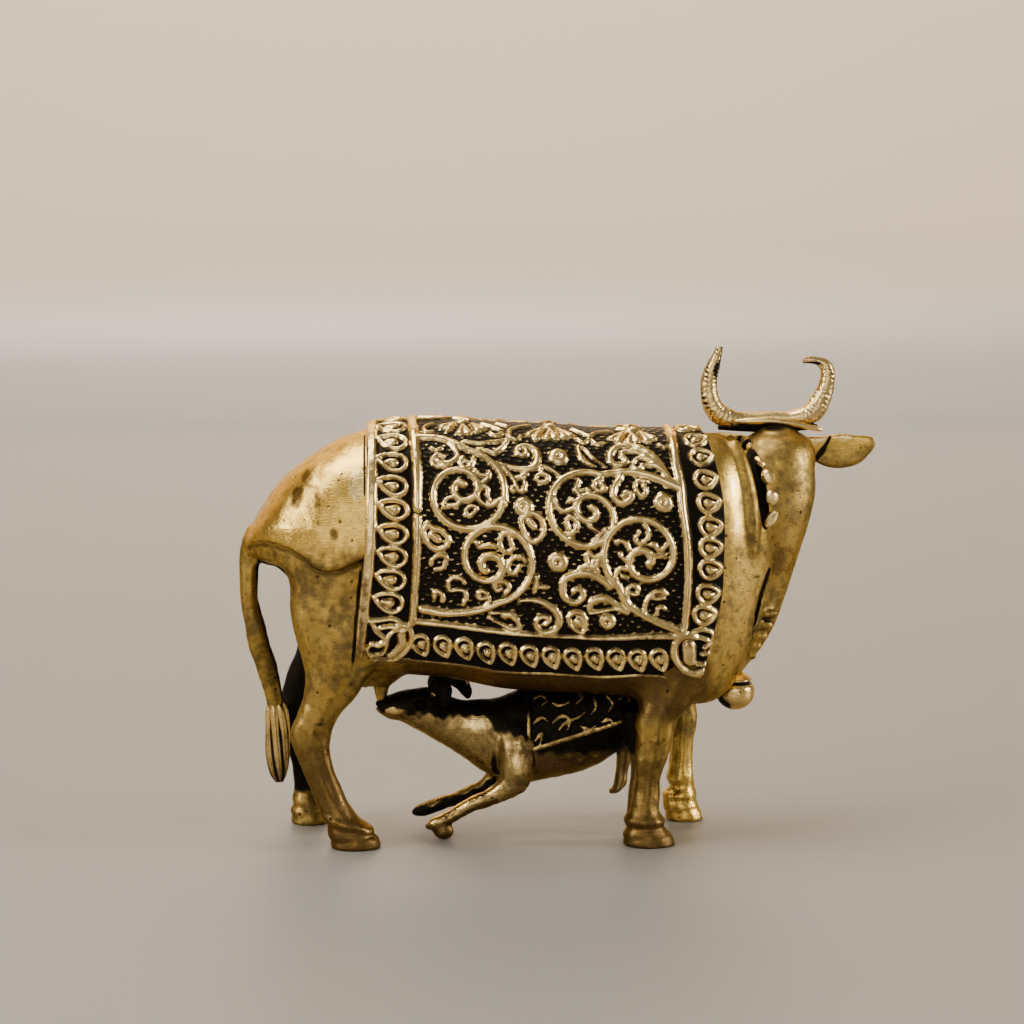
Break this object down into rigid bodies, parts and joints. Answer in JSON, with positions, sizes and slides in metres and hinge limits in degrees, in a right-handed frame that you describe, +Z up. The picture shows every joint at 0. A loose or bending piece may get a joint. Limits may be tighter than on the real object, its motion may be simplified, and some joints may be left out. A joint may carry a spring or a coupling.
{
  "type": "kamdhenu cow statue",
  "caption": "Small antiqued brass figure of a standing cow in a scroll-worked saddle cloth, head turned back, with her calf crouching under her to suckle.",
  "frame": {"origin": "middle of the figure's footprint box, on the surface it stands on", "axes": "+X towards the cow's head end, along her body; +Y to her left, the side her head turns to; +Z up"},
  "size_m": [0.0804, 0.028, 0.0614],
  "materials": {
    "brass": "antiqued cast brass, polished on the high places and blackened in the ground of the relief"
  },
  "bodies": {
    "root": {"cow_and_calf": "brass"}
  },
  "joints": []
}
